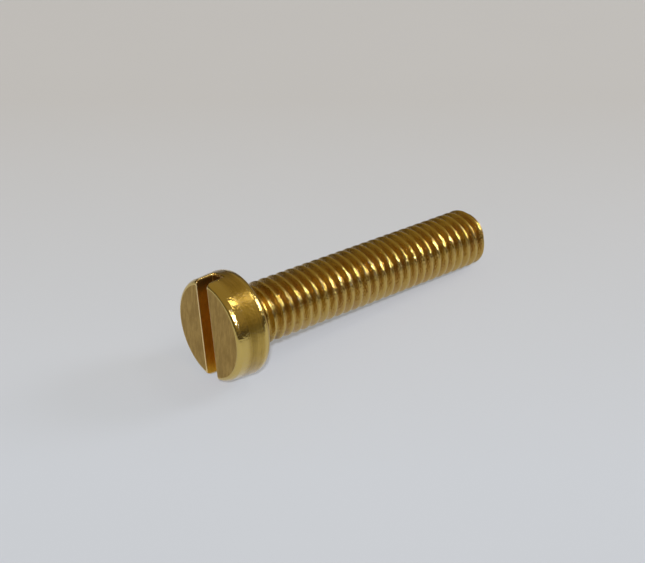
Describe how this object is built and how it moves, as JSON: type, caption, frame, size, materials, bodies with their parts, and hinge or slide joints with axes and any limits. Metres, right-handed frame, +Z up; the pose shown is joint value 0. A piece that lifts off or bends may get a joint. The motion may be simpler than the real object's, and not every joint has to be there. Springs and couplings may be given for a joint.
{
  "type": "machine screw",
  "caption": "Brass slotted cheese head machine screw with a fully threaded shank, lying on its side.",
  "frame": {"origin": "on the table, under the middle of the lying screw", "axes": "+X runs along the screw from the head to the tip, seen from above, +Z is up from the table, and +Y is across the screw"},
  "size_m": [0.0226, 0.0068, 0.0069],
  "materials": {
    "brass": "turned and thread-rolled brass, satin on the slotted face, bright on the rim and the crests, lightly toned in the slot and the thread's roots"
  },
  "bodies": {
    "root": {"screw": "brass"}
  },
  "joints": []
}
